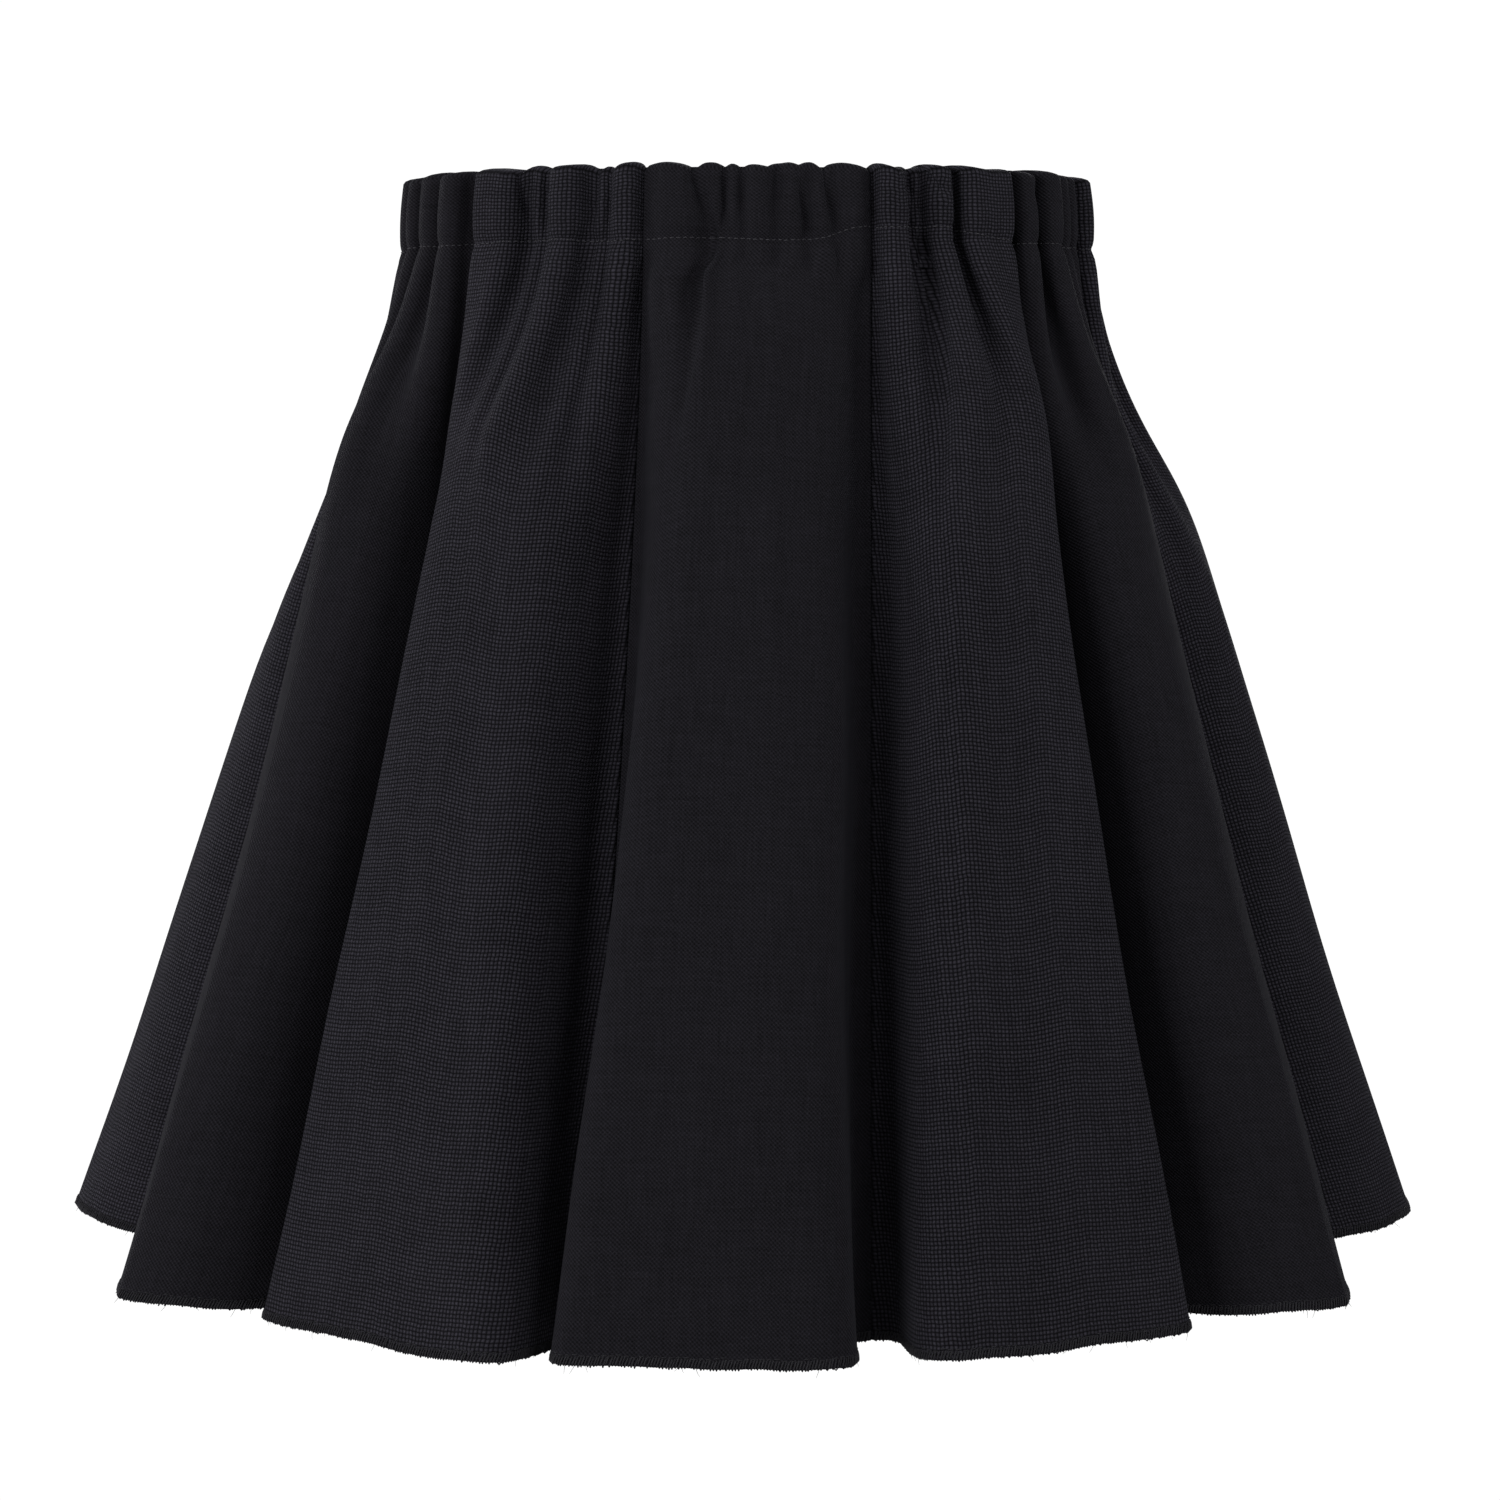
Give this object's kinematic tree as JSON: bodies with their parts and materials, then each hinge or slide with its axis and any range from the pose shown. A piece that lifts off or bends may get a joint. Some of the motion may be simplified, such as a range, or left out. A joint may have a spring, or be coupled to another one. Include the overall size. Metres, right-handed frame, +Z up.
{
  "type": "circle skirt",
  "caption": "Pull-on flared skirt of tall gores in two cloths, gathered on an elastic in a turned-in casing, each gore swelling into one broad flute at the open hem.",
  "frame": {"origin": "middle of the waist, half way up the elastic in the casing", "axes": "+Z up, front of the skirt toward -Y, wearer's left side toward +X"},
  "size_m": [0.5301, 0.4643, 0.4084],
  "materials": {
    "coarse_cloth": "matte black basket weave",
    "fine_cloth": "matte black fine twill",
    "elastic": "matte black woven elastic"
  },
  "bodies": {
    "root": {"gore_front_center": "fine_cloth", "gore_front_right": "coarse_cloth", "gore_right_front": "fine_cloth", "gore_right": "coarse_cloth", "gore_right_back": "fine_cloth", "gore_back_right": "coarse_cloth", "gore_back_center": "fine_cloth", "gore_back_left": "coarse_cloth", "gore_left_back": "fine_cloth", "gore_left": "coarse_cloth", "gore_left_front": "fine_cloth", "gore_front_left": "coarse_cloth", "waist_elastic": "elastic"}
  },
  "joints": []
}
